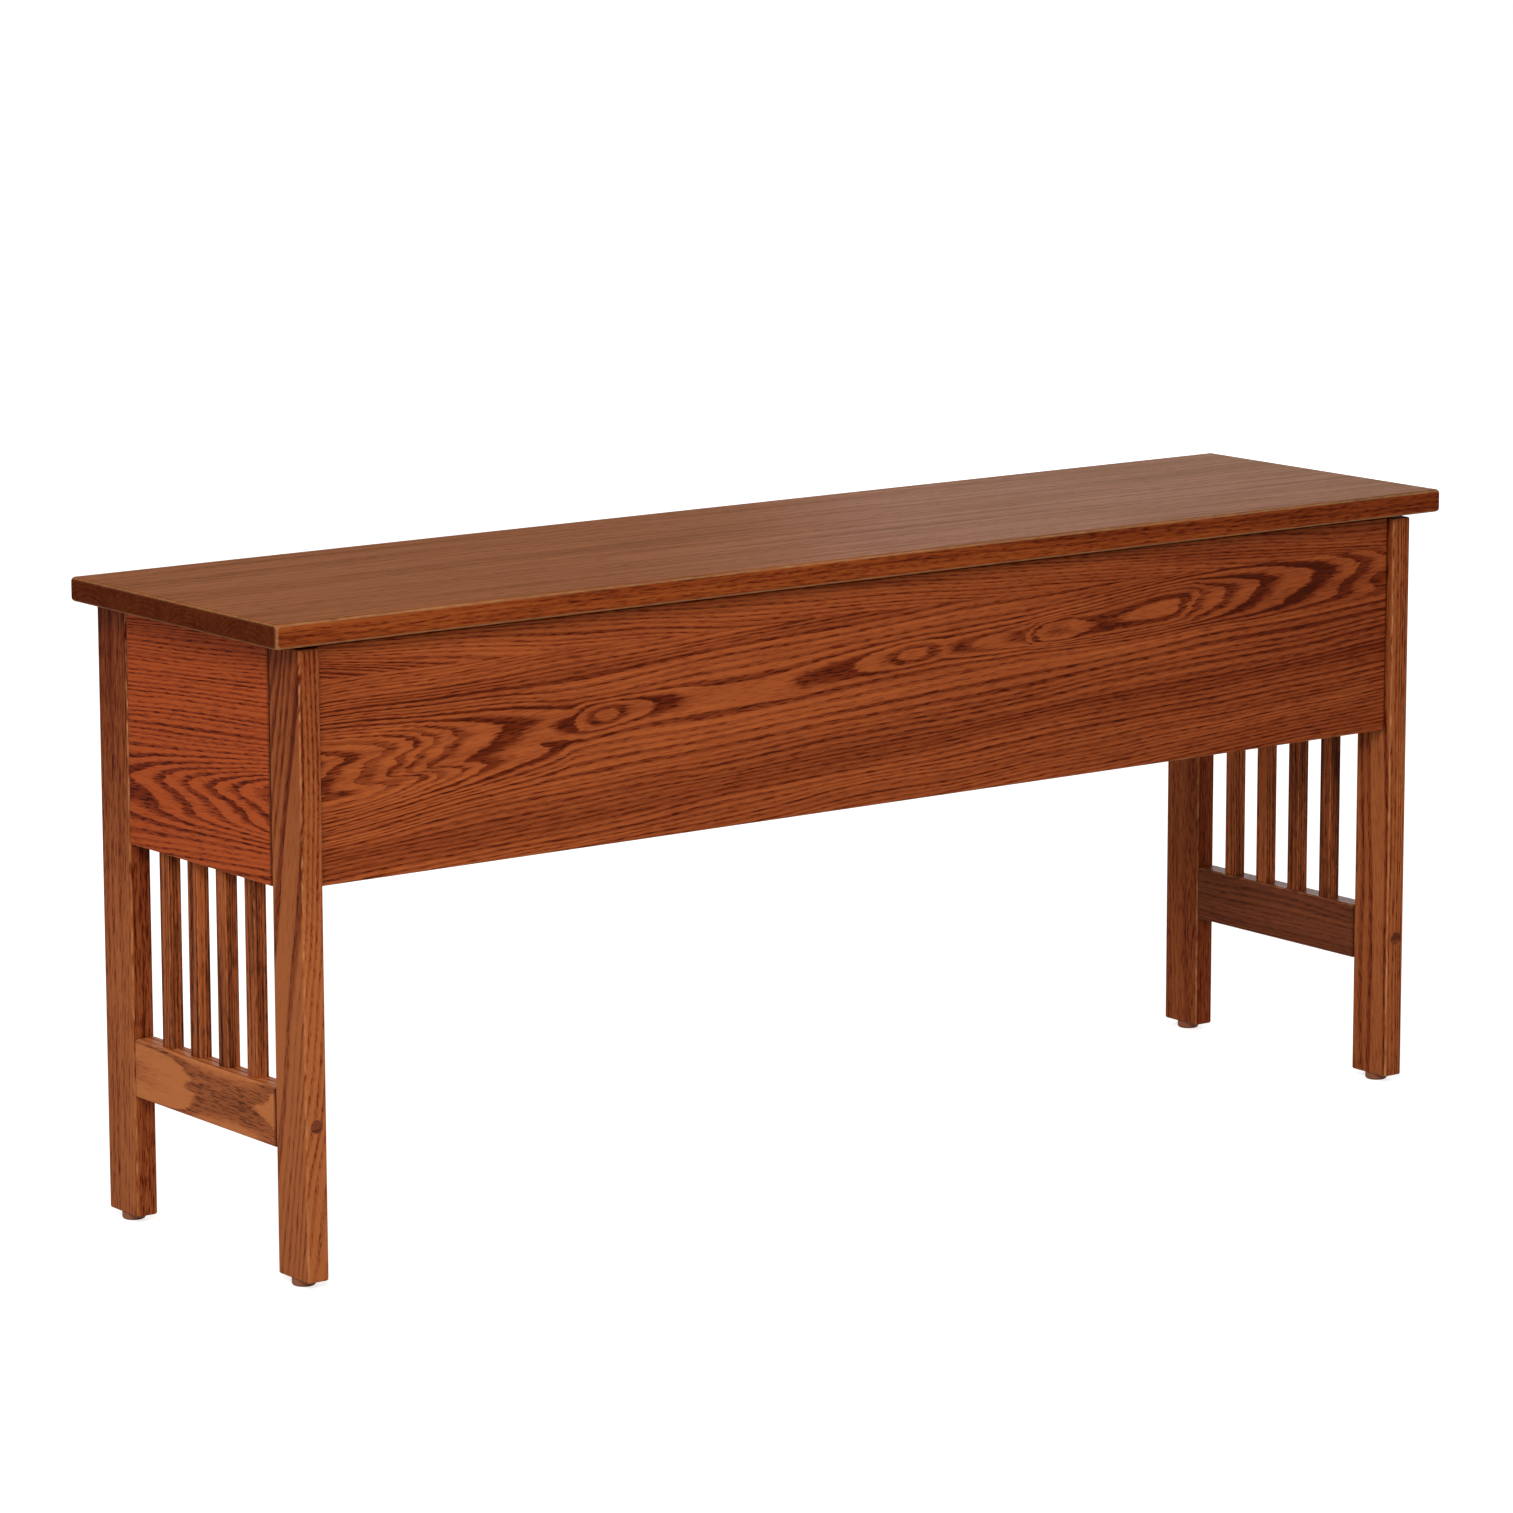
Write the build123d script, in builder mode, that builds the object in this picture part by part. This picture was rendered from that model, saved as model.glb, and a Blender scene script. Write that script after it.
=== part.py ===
from build123d import *
import os

os.makedirs("parts", exist_ok=True)

# An oak storage bench in the mission style: four flat legs, deep panels that make a box under
# a hinged lid, and a slatted grille between panel and rail at each end.
# Millimetres. X runs along the bench, Y from front to back and Z up from the floor.
# The origin is on the floor, in the middle of the bench's footprint.

# The whole bench
frame_length = 1022.8
frame_depth = 265.5
seat_height = 470.0
board_thickness = 17.5

# Lid
lid_thickness = 17.5
lid_end_overhang = 23.6
lid_front_overhang = 9.0
lid_back_setback = 3.0
lid_edge_radius = 3.0
lid_corner_radius = 4.0
lid_gap = 3.0

# Legs
leg_width = 39.0
leg_edge_radius = 2.4
leg_end_radius = 1.5

# Glides under the legs, and their nails
glide_height = 5.5
glide_diameter = 17.0
glide_edge_radius = 2.0
nail_recess_depth = 3.0
nail_recess_diameter = 6.0
nail_head_diameter = 5.0
nail_head_thickness = 1.0
nail_diameter = 2.2
nail_length = 20.0

# Panels of the box
front_panel_height = 167.0
back_panel_height = 165.0
side_panel_height = 170.0
front_panel_setback = 6.0
back_panel_setback = 6.5
panel_edge_radius = 1.8
panel_end_radius = 2.6

# Rails and slats at the ends
rail_height = 42.5
rail_rise = 89.4
slat_count = 4
slat_width = 12.6
slat_thickness = 10.5
slat_setback = 5.0
slat_tenon = 8.0
slat_edge_radius = 1.0

# Box floor and the cleats that carry it
floor_thickness = 12.0
floor_edge_radius = 0.5
floor_clearance = 1.0
cleat_size = 19.0
cleat_rise = 6.0
cleat_edge_radius = 1.0
cleat_end_clearance = 0.5

# Blocks in the corners of the box
block_size = 25.0
block_top_drop = 8.0
block_edge_radius = 1.0

# Battens under the lid
batten_width = 38.0
batten_thickness = 12.5
batten_end_gap = 12.0
batten_inset = 240.0
batten_edge_radius = 2.0

# Butt hinges
hinge_length = 63.5
hinge_height = 5.0
hinge_inset = 150.0
leaf_width = 19.0
leaf_thickness = 1.6
leaf_corner_radius = 1.2
knuckle_count = 5
knuckle_gap = 0.3
knuckle_clearance = 0.3
pin_diameter = 2.4
pin_clearance = 0.05
pin_head_diameter = 3.8
pin_head_thickness = 0.8
hinge_screw_pitch = 22.0

# Dowels in the corner joints
dowel_diameter = 9.5
panel_dowel_in_leg = 11.0
panel_dowel_in_panel = 21.0
side_dowel_in_leg = 14.0
side_dowel_in_panel = 24.0
dowel_height_shares = (0.15, 0.5, 0.85)

# Plugs over the screws that hold the rails
plug_diameter = 9.5
plug_depth = 8.0
plug_proud = 0.3
plug_edge_radius = 0.25

# Wood screws: head, shank and length
countersink_angle = 90
hinge_screw_head = 5.2
hinge_screw_shank = 2.8
hinge_frame_screw_length = 16.0
hinge_lid_screw_length = 13.0
box_screw_head = 6.8
box_screw_shank = 3.4
block_screw_length = 34.0
cleat_screw_length = 30.0
batten_screw_length = 25.0
rail_screw_head = 8.4
rail_screw_shank = 4.5
rail_screw_length = 62.0
recess_width_share = 0.14
recess_length_share = 0.6
recess_depth_share = 0.2

# Where the screws stand along the pieces that they hold, as shares of those pieces
block_to_leg_shares = (0.12, 0.62)
block_to_panel_shares = (0.24, 0.74)
long_cleat_screw_shares = (0.08, 0.36, 0.64, 0.92)
short_cleat_screw_shares = (0.25, 0.75)
batten_screw_shares = (0.12, 0.5, 0.88)

# Bumpers on the front legs
bumper_diameter = 9.5
bumper_edge_radius = 0.5

# Room between a piece and the hole that it sits in
fit = 0.05

# Places worked out from the sizes above
lid_length = frame_length + 2 * lid_end_overhang
lid_depth = lid_front_overhang + frame_depth - lid_back_setback
total_depth = lid_front_overhang + frame_depth + plug_proud
lid_front = -total_depth / 2
leg_front = lid_front + lid_front_overhang
leg_back = leg_front + frame_depth

lid_bottom = seat_height - lid_thickness
leg_bottom = glide_height
leg_top = lid_bottom - lid_gap
leg_height = leg_top - leg_bottom
back_panel_top = lid_bottom - hinge_height
front_panel_bottom = leg_top - front_panel_height
side_panel_bottom = leg_top - side_panel_height

end_inner = frame_length / 2 - board_thickness
leg_x = frame_length / 2 - board_thickness / 2
front_inner = leg_front + front_panel_setback + board_thickness
back_inner = leg_back - back_panel_setback - board_thickness
box_middle_y = (front_inner + back_inner) / 2
box_depth = back_inner - front_inner

rail_bottom = leg_bottom + rail_rise
rail_top = rail_bottom + rail_height
rail_middle_z = rail_bottom + rail_height / 2
rail_length = frame_depth - 2 * leg_width
rail_middle_y = (leg_front + leg_back) / 2

cleat_bottom = front_panel_bottom + cleat_rise
cleat_middle_z = cleat_bottom + cleat_size / 2
floor_bottom = cleat_bottom + cleat_size
floor_top = floor_bottom + floor_thickness
block_top = back_panel_top - block_top_drop
block_height = block_top - floor_top

knuckle_radius = hinge_height / 2
axis_y = leg_back - back_panel_setback + knuckle_radius
axis_z = back_panel_top + knuckle_radius
leaf_inner = knuckle_radius - leaf_thickness
notch = knuckle_radius + knuckle_clearance
leaf_screw_y = -(leaf_width + notch) / 2
knuckle_pitch = hinge_length / knuckle_count
knuckle_length = knuckle_pitch - knuckle_gap
leaf_length = hinge_length - knuckle_gap
hinge_screw_xs = (-hinge_screw_pitch, 0, hinge_screw_pitch)
hinge_end_x = frame_length / 2 - hinge_inset
hinge_places = {"left": -hinge_end_x, "middle": 0, "right": hinge_end_x}

slat_length = side_panel_bottom - rail_top + 2 * slat_tenon
slat_middle_z = (side_panel_bottom + rail_top) / 2
slat_x = frame_length / 2 - slat_setback - slat_thickness / 2
slat_pitch = rail_length / (slat_count + 1)
slat_ys = [leg_front + leg_width + slat_pitch * (index + 1) for index in range(slat_count)]

batten_length = box_depth - 2 * batten_end_gap
batten_x = frame_length / 2 - batten_inset
batten_bottom = lid_bottom - batten_thickness

# The bench's two ends and its two long sides, each as a direction, and what differs by side
sides = {"left": -1, "right": 1}
rows = {"front": -1, "back": 1}
corners = [(side, row) for side in sides.values() for row in rows.values()]
leg_edge = {-1: leg_front, 1: leg_back}
leg_y = {row: leg_edge[row] - row * leg_width / 2 for row in rows.values()}
box_face = {-1: front_inner, 1: back_inner}
panel_y = {row: box_face[row] + row * board_thickness / 2 for row in rows.values()}
panel_height = {-1: front_panel_height, 1: back_panel_height}
panel_top = {-1: leg_top, 1: back_panel_top}


def keep(piece, label):
    """Names a finished piece and writes it."""
    piece.label = label
    export_step(piece, f"parts/{label}.step")


def eased_board(x, y, z, length, depth, height, upright_radius, edge_radius):
    """Adds a board centred on a point, its upright edges eased and then its top and bottom ones."""
    with Locations((x, y, z)):
        Box(length, depth, height)
    fillet(edges().filter_by(Axis.Z), upright_radius)
    fillet(edges().group_by(Axis.Z)[0] + edges().group_by(Axis.Z)[-1], edge_radius)


def facing(x, y, z, outward):
    """A place on a face, its own Z along the face's outward direction, so holes go in."""
    return Plane(origin=(x, y, z), z_dir=outward).location


def sunk(place, depth):
    """The same place, moved in from the face by a depth."""
    return place * Location((0, 0, -depth))


def drill(places, diameter, depth):
    """Cuts a hole with room for a round piece at each place."""
    with Locations(*places):
        Hole(diameter / 2 + fit, depth + fit)


def drill_for_screws(places, head_diameter, shank_diameter, depth):
    """Cuts a countersunk screw hole at each place."""
    with Locations(*places):
        CounterSinkHole(shank_diameter / 2 + fit, head_diameter / 2 + fit, depth, countersink_angle)


def wood_screw(head_diameter, shank_diameter, length):
    """A countersunk wood screw, its head's face at the origin and its point straight down."""
    head_radius = head_diameter / 2
    shank_radius = shank_diameter / 2
    with BuildPart() as screw:
        with BuildSketch(Plane.XZ):
            with BuildLine():
                Polyline(
                    (0, 0),
                    (head_radius, 0),
                    (shank_radius, shank_radius - head_radius),
                    (shank_radius, shank_diameter - length),
                    (0, -length),
                    close=True,
                )
            make_face()
        revolve(axis=Axis.Z)
        recess_width = recess_width_share * head_diameter
        recess_length = recess_length_share * head_diameter
        recess_depth = recess_depth_share * head_diameter
        Box(recess_length, recess_width, 2 * recess_depth, mode=Mode.SUBTRACT)
        Box(recess_width, recess_length, 2 * recess_depth, mode=Mode.SUBTRACT)
    return screw.part


def dowel_places(side, row):
    """Places on a front or back panel's end, where its dowels cross into the leg."""
    levels = [panel_top[row] - share * panel_height[row] for share in dowel_height_shares]
    return [facing(side * end_inner, panel_y[row], level, (side, 0, 0)) for level in levels]


def side_dowel_places(side, row):
    """Places on a side panel's end, where its dowels cross into the leg."""
    end_y = rail_middle_y + row * rail_length / 2
    levels = [leg_top - share * side_panel_height for share in dowel_height_shares]
    return [facing(side * leg_x, end_y, level, (0, row, 0)) for level in levels]


def turned(places):
    """The same places, facing the other way, as the neighbouring piece sees them."""
    return [place * Location((0, 0, 0), (180, 0, 0)) for place in places]


def block_leg_screw_places(side, row):
    """Places on a corner block for the screws that go into the leg."""
    leg_inner_y = rail_middle_y + row * rail_length / 2
    y = (box_face[row] + leg_inner_y) / 2
    levels = [floor_top + share * block_height for share in block_to_leg_shares]
    return [facing(side * (end_inner - block_size), y, level, (-side, 0, 0)) for level in levels]


def block_panel_screw_places(side, row):
    """Places on a corner block for the screws that go into the front or back panel."""
    x = side * (end_inner - block_size / 2)
    y = box_face[row] - row * block_size
    levels = [floor_top + share * block_height for share in block_to_panel_shares]
    return [facing(x, y, level, (0, -row, 0)) for level in levels]


def long_cleat_screw_places(row):
    """Places on a front or back cleat for its screws."""
    y = box_face[row] - row * cleat_size
    across = [(share - 1 / 2) * 2 * end_inner for share in long_cleat_screw_shares]
    return [facing(x, y, cleat_middle_z, (0, -row, 0)) for x in across]


def short_cleat_screw_places(side):
    """Places on an end cleat for its screws."""
    x = side * (end_inner - cleat_size)
    along = [front_inner + share * box_depth for share in short_cleat_screw_shares]
    return [facing(x, y, cleat_middle_z, (-side, 0, 0)) for y in along]


def rail_screw_place(side, row):
    """The place on a leg's outer edge where the rail's screw and its plug go in."""
    return facing(side * leg_x, leg_edge[row], rail_middle_z, (0, row, 0))


def hinge_screw_places(level, upward):
    """Places on the three leaves of one kind, at a level, facing up or down."""
    return [
        facing(hinge_x + screw_x, axis_y + leaf_screw_y, level, (0, 0, upward))
        for hinge_x in hinge_places.values()
        for screw_x in hinge_screw_xs
    ]


def batten_screw_places(side):
    """Places under a batten for the screws that go up into the lid."""
    along = [box_middle_y + (share - 1 / 2) * batten_length for share in batten_screw_shares]
    return [facing(side * batten_x, y, batten_bottom, (0, 0, -1)) for y in along]


def nail_place(side, row):
    """The place under a leg where its glide's nail head stands, facing the floor."""
    return facing(side * leg_x, leg_y[row], nail_recess_depth, (0, 0, -1))


def cut_slat_mortises(side):
    """Cuts the room for the ends of one end's slats out of the open piece."""
    with Locations(*[(side * slat_x, y, slat_middle_z) for y in slat_ys]):
        Box(slat_thickness + 2 * fit, slat_width + 2 * fit, slat_length + 2 * fit, mode=Mode.SUBTRACT)


frame_leaf_screws = hinge_screw_places(axis_z - leaf_inner, 1)
lid_leaf_screws = hinge_screw_places(axis_z + leaf_inner, -1)
batten_screws = batten_screw_places(-1) + batten_screw_places(1)

# Legs
for row_name, row in rows.items():
    for side_name, side in sides.items():
        screw_place = rail_screw_place(side, row)
        with BuildPart() as leg:
            eased_board(
                side * leg_x, leg_y[row], (leg_bottom + leg_top) / 2,
                board_thickness, leg_width, leg_height, leg_edge_radius, leg_end_radius,
            )
            drill(turned(dowel_places(side, row)), dowel_diameter, panel_dowel_in_leg)
            drill(turned(side_dowel_places(side, row)), dowel_diameter, side_dowel_in_leg)
            drill(block_leg_screw_places(side, row), box_screw_shank, block_screw_length)
            drill([screw_place], plug_diameter, plug_depth)
            drill_for_screws([sunk(screw_place, plug_depth)], rail_screw_head, rail_screw_shank, leg_width)
            drill([nail_place(side, row)], nail_diameter, nail_length)
        keep(leg.part, f"leg_{row_name}_{side_name}")

# Front and back panels
for row_name, row in rows.items():
    with BuildPart() as panel:
        eased_board(
            0, panel_y[row], panel_top[row] - panel_height[row] / 2,
            2 * end_inner, board_thickness, panel_height[row], panel_end_radius, panel_edge_radius,
        )
        for side in sides.values():
            drill(dowel_places(side, row), dowel_diameter, panel_dowel_in_panel)
            drill(block_panel_screw_places(side, row), box_screw_shank, block_screw_length)
        drill(long_cleat_screw_places(row), box_screw_shank, cleat_screw_length)
        if row > 0:
            drill(frame_leaf_screws, hinge_screw_shank, hinge_frame_screw_length)
    keep(panel.part, f"{row_name}_panel")

# Side panels, with mortises in the bottom for the tops of the slats
for side_name, side in sides.items():
    with BuildPart() as side_panel:
        eased_board(
            side * leg_x, rail_middle_y, leg_top - side_panel_height / 2,
            board_thickness, rail_length, side_panel_height, panel_end_radius, panel_edge_radius,
        )
        cut_slat_mortises(side)
        for row in rows.values():
            drill(side_dowel_places(side, row), dowel_diameter, side_dowel_in_panel)
        drill(short_cleat_screw_places(side), box_screw_shank, cleat_screw_length)
    keep(side_panel.part, f"side_panel_{side_name}")

# Rails near the floor, with mortises in the top for the feet of the slats
for side_name, side in sides.items():
    with BuildPart() as rail:
        eased_board(
            side * leg_x, rail_middle_y, rail_middle_z,
            board_thickness, rail_length, rail_height, panel_end_radius, panel_edge_radius,
        )
        cut_slat_mortises(side)
        for row in rows.values():
            drill([sunk(rail_screw_place(side, row), plug_depth)], rail_screw_shank, rail_screw_length)
    keep(rail.part, f"lower_rail_{side_name}")

# Slats
for side_name, side in sides.items():
    for number, y in enumerate(slat_ys, start=1):
        with BuildPart() as slat:
            with Locations((side * slat_x, y, slat_middle_z)):
                Box(slat_thickness, slat_width, slat_length)
            fillet(slat.edges().filter_by(Axis.Z), slat_edge_radius)
        keep(slat.part, f"slat_{side_name}_{number}")

# Box floor
with BuildPart() as box_floor:
    eased_board(
        0, box_middle_y, floor_bottom + floor_thickness / 2,
        2 * (end_inner - floor_clearance), box_depth - 2 * floor_clearance, floor_thickness,
        floor_edge_radius, floor_edge_radius,
    )
keep(box_floor.part, "box_floor")

# Cleats under the box floor
for row_name, row in rows.items():
    with BuildPart() as long_cleat:
        eased_board(
            0, box_face[row] - row * cleat_size / 2, cleat_middle_z,
            2 * (end_inner - cleat_end_clearance), cleat_size, cleat_size,
            cleat_edge_radius, cleat_edge_radius,
        )
        drill_for_screws(long_cleat_screw_places(row), box_screw_head, box_screw_shank, cleat_screw_length)
    keep(long_cleat.part, f"floor_cleat_{row_name}")

for side_name, side in sides.items():
    with BuildPart() as short_cleat:
        eased_board(
            side * (end_inner - cleat_size / 2), box_middle_y, cleat_middle_z,
            cleat_size, box_depth - 2 * (cleat_size + cleat_end_clearance), cleat_size,
            cleat_edge_radius, cleat_edge_radius,
        )
        drill_for_screws(short_cleat_screw_places(side), box_screw_head, box_screw_shank, cleat_screw_length)
    keep(short_cleat.part, f"floor_cleat_{side_name}")

# Corner blocks
for row_name, row in rows.items():
    for side_name, side in sides.items():
        with BuildPart() as corner_block:
            eased_board(
                side * (end_inner - block_size / 2), box_face[row] - row * block_size / 2,
                floor_top + block_height / 2, block_size, block_size, block_height,
                block_edge_radius, block_edge_radius,
            )
            for places in (block_leg_screw_places(side, row), block_panel_screw_places(side, row)):
                drill_for_screws(places, box_screw_head, box_screw_shank, block_screw_length)
        keep(corner_block.part, f"corner_block_{row_name}_{side_name}")

# Lid, and the battens that keep it flat
with BuildPart() as lid:
    eased_board(
        0, lid_front + lid_depth / 2, lid_bottom + lid_thickness / 2,
        lid_length, lid_depth, lid_thickness, lid_corner_radius, lid_edge_radius,
    )
    drill(lid_leaf_screws, hinge_screw_shank, hinge_lid_screw_length)
    drill(batten_screws, box_screw_shank, batten_screw_length)
keep(lid.part, "lid")

for side_name, side in sides.items():
    with BuildPart() as batten:
        eased_board(
            side * batten_x, box_middle_y, batten_bottom + batten_thickness / 2,
            batten_width, batten_length, batten_thickness, batten_edge_radius, batten_edge_radius,
        )
        drill_for_screws(batten_screw_places(side), box_screw_head, box_screw_shank, batten_screw_length)
    keep(batten.part, f"lid_batten_{side_name}")


def knuckle_middles(first):
    """How far along the pin each knuckle of one leaf stands, from its first, every other one."""
    return [(index - (knuckle_count - 1) / 2) * knuckle_pitch for index in range(first, knuckle_count, 2)]


def hinge_leaf(upward, first_knuckle):
    """A leaf with its knuckles, the pin's axis along X through the origin."""
    plate_z = upward * (knuckle_radius - leaf_thickness / 2)
    plate_depth = leaf_width - notch
    with BuildPart() as leaf:
        with Locations((0, -notch - plate_depth / 2, plate_z)):
            Box(leaf_length, plate_depth, leaf_thickness)
        outer_corners = leaf.edges().filter_by(Axis.Z).group_by(Axis.Y)[0]
        fillet(outer_corners, leaf_corner_radius)
        for x in knuckle_middles(first_knuckle):
            with Locations((x, -notch / 2, plate_z)):
                Box(knuckle_length, notch, leaf_thickness)
            with Locations((x, 0, 0)):
                Cylinder(knuckle_radius, knuckle_length, rotation=(0, 90, 0))
        Cylinder(pin_diameter / 2 + pin_clearance, hinge_length, rotation=(0, 90, 0), mode=Mode.SUBTRACT)
        places = [facing(x, leaf_screw_y, upward * leaf_inner, (0, 0, -upward)) for x in hinge_screw_xs]
        drill_for_screws(places, hinge_screw_head, hinge_screw_shank, leaf_thickness)
    return leaf.part


# Hinges: one leaf on the back panel, the other under the lid, and the pin
frame_leaf = hinge_leaf(-1, 0)
lid_leaf = hinge_leaf(1, 1)
pin_head_x = (leaf_length + pin_head_thickness) / 2
for place_name, hinge_x in hinge_places.items():
    with BuildPart() as frame_side_leaf:
        with Locations((hinge_x, axis_y, axis_z)):
            add(frame_leaf)
    keep(frame_side_leaf.part, f"hinge_{place_name}_frame_leaf")

    with BuildPart() as lid_side_leaf:
        with Locations((hinge_x, axis_y, axis_z)):
            add(lid_leaf)
    keep(lid_side_leaf.part, f"hinge_{place_name}_lid_leaf")

    with BuildPart() as pin:
        with Locations((hinge_x, axis_y, axis_z)):
            Cylinder(pin_diameter / 2, hinge_length, rotation=(0, 90, 0))
        with Locations(*[(hinge_x + end * pin_head_x, axis_y, axis_z) for end in (-1, 1)]):
            Cylinder(pin_head_diameter / 2, pin_head_thickness, rotation=(0, 90, 0))
    keep(pin.part, f"hinge_{place_name}_pin")

# Bumpers on the front legs, which the lid rests on
with BuildPart() as lid_bumpers:
    with Locations(*[(side * leg_x, leg_y[rows["front"]], leg_top + lid_gap / 2) for side in sides.values()]):
        Cylinder(bumper_diameter / 2, lid_gap)
    fillet(lid_bumpers.edges().filter_by(GeomType.CIRCLE).group_by(Axis.Z)[-1], bumper_edge_radius)
keep(lid_bumpers.part, "lid_bumpers")

# Glides and their nails
towards_floor = (Align.CENTER, Align.CENTER, Align.MIN)
into_leg = (Align.CENTER, Align.CENTER, Align.MAX)
with BuildPart() as nails:
    with Locations(*[nail_place(side, row) for side, row in corners]):
        Cylinder(nail_head_diameter / 2, nail_head_thickness, align=towards_floor)
        Cylinder(nail_diameter / 2, nail_length, align=into_leg)
keep(nails.part, "glide_nails")

for row_name, row in rows.items():
    for side_name, side in sides.items():
        with BuildPart() as glide:
            with Locations((side * leg_x, leg_y[row], glide_height / 2)):
                Cylinder(glide_diameter / 2, glide_height)
            fillet(glide.edges().filter_by(GeomType.CIRCLE).group_by(Axis.Z)[0], glide_edge_radius)
            with Locations(facing(side * leg_x, leg_y[row], 0, (0, 0, -1))):
                CounterBoreHole(nail_diameter / 2 + fit, nail_recess_diameter / 2, nail_recess_depth)
        keep(glide.part, f"glide_{row_name}_{side_name}")

# Plugs over the rail screws
for row_name, row in rows.items():
    for side_name, side in sides.items():
        with BuildPart() as plug:
            with Locations(sunk(rail_screw_place(side, row), (plug_depth - fit - plug_proud) / 2)):
                Cylinder(plug_diameter / 2, plug_depth - fit + plug_proud)
            outer_end = plug.edges().filter_by(GeomType.CIRCLE).sort_by(Axis.Y)[-1 if row > 0 else 0]
            fillet(outer_end, plug_edge_radius)
        keep(plug.part, f"plug_{row_name}_{side_name}")


def set_of_screws(places, head_diameter, shank_diameter, length, label):
    """Writes one node with a screw at each place."""
    screw = wood_screw(head_diameter, shank_diameter, length)
    with BuildPart() as screws:
        with Locations(*places):
            add(screw)
    keep(screws.part, label)


rail_screws = [sunk(rail_screw_place(side, row), plug_depth) for side, row in corners]
block_screws = [
    place
    for side, row in corners
    for place in block_leg_screw_places(side, row) + block_panel_screw_places(side, row)
]
cleat_screws = [place for row in rows.values() for place in long_cleat_screw_places(row)]
cleat_screws += [place for side in sides.values() for place in short_cleat_screw_places(side)]

set_of_screws(rail_screws, rail_screw_head, rail_screw_shank, rail_screw_length, "rail_screws")
set_of_screws(block_screws, box_screw_head, box_screw_shank, block_screw_length, "corner_block_screws")
set_of_screws(cleat_screws, box_screw_head, box_screw_shank, cleat_screw_length, "cleat_screws")
set_of_screws(batten_screws, box_screw_head, box_screw_shank, batten_screw_length, "batten_screws")
set_of_screws(
    frame_leaf_screws, hinge_screw_head, hinge_screw_shank, hinge_frame_screw_length, "hinge_frame_screws"
)
set_of_screws(
    lid_leaf_screws, hinge_screw_head, hinge_screw_shank, hinge_lid_screw_length, "hinge_lid_screws"
)


def set_of_dowels(places, inward_length, outward_length, label):
    """Writes one node with a dowel across each joint."""
    length = inward_length + outward_length
    middles = [sunk(place, (inward_length - outward_length) / 2) for place in places]
    with BuildPart() as dowels:
        with Locations(*middles):
            Cylinder(dowel_diameter / 2, length)
    keep(dowels.part, label)


panel_dowels = [place for side, row in corners for place in dowel_places(side, row)]
side_dowels = [place for side, row in corners for place in side_dowel_places(side, row)]
set_of_dowels(panel_dowels, panel_dowel_in_panel, panel_dowel_in_leg, "panel_dowels")
set_of_dowels(side_dowels, side_dowel_in_panel, side_dowel_in_leg, "side_panel_dowels")
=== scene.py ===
import math

import bpy
import bmesh
from mathutils import Matrix, Vector


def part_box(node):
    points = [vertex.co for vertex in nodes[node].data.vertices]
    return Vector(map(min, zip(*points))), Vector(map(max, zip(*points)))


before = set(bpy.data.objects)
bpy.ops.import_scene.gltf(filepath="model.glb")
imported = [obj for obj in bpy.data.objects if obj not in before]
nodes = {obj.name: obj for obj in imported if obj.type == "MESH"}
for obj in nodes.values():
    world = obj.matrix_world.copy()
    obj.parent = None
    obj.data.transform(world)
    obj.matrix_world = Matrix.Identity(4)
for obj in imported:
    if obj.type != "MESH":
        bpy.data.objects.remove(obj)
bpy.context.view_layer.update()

# Every length inside a pattern is in millimetres, the model's own unit times this
MILLIMETRES = 1000


def colour(hex_code):
    """An sRGB hex colour as linear red, green, blue and alpha."""
    shares = [int(hex_code[place:place + 2], 16) / 255 for place in (1, 3, 5)]
    return tuple(s / 12.92 if s <= 0.04045 else ((s + 0.055) / 1.055) ** 2.4 for s in shares) + (1,)


def add_node(tree, kind, inputs=None, **settings):
    """Adds a node. An input is a value, a socket, or a node that gives its first output."""
    node = tree.nodes.new(kind)
    for setting, value in settings.items():
        setattr(node, setting, value)
    for name, value in (inputs or {}).items():
        if isinstance(value, bpy.types.Node):
            value = value.outputs[0]
        if isinstance(value, bpy.types.NodeSocket):
            tree.links.new(value, node.inputs[name])
        else:
            node.inputs[name].default_value = value
    return node


def set_stops(ramp_node, stops):
    """Gives a colour ramp its stops, each a place and a grey level or a linear colour."""
    elements = ramp_node.color_ramp.elements
    while len(elements) < len(stops):
        elements.new(1)
    for element, (place, level) in zip(elements, stops):
        element.position = place
        element.color = level if isinstance(level, tuple) else (level, level, level, 1)


def new_material(name):
    """A material with an empty node tree and its output node."""
    material = bpy.data.materials.new(name)
    material.use_nodes = True
    material.node_tree.nodes.clear()
    output = material.node_tree.nodes.new("ShaderNodeOutputMaterial")
    return material, material.node_tree, output


def finish_nodes(names, material):
    """Gives every slot of the named CAD pieces a material."""
    for name in names:
        for slot in nodes[name].material_slots:
            slot.material = material


# Plain-sawn red oak: growth rings that are cut nearly flat show as nested points and ovals, with
# straight lines beside them. Each ring starts with open pores, which the stain turns dark, and ends
# in dense, lighter wood. All oak boards share the two groups below and differ in what goes in.
GRAIN_NOISES = {   # millimetres along, across and through the board, and detail
    "Bend": ((120, 24, 24), 0),
    "Weave": ((70, 14, 14), 0),
    "Teeth": ((8, 1.8, 1.8), 0),
    "Streaks": ((240, 10, 10), 4),
    "Pores": ((11, 1, 1), 1),   # vessels are a quarter of this wide, drawn coarser so that they show
}
TOOTH_LENGTH = 10   # how far a band's teeth reach along the board, in millimetres
WEAVE_LENGTH = 10   # and how far its nose weaves
SPELL = 0.3   # wet and dry spells a year
SPELL_SHIFT = 1.4   # rings by which they move the later ones
PALEST_YEAR = 0.45   # darkness beside the darkest year's
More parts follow.
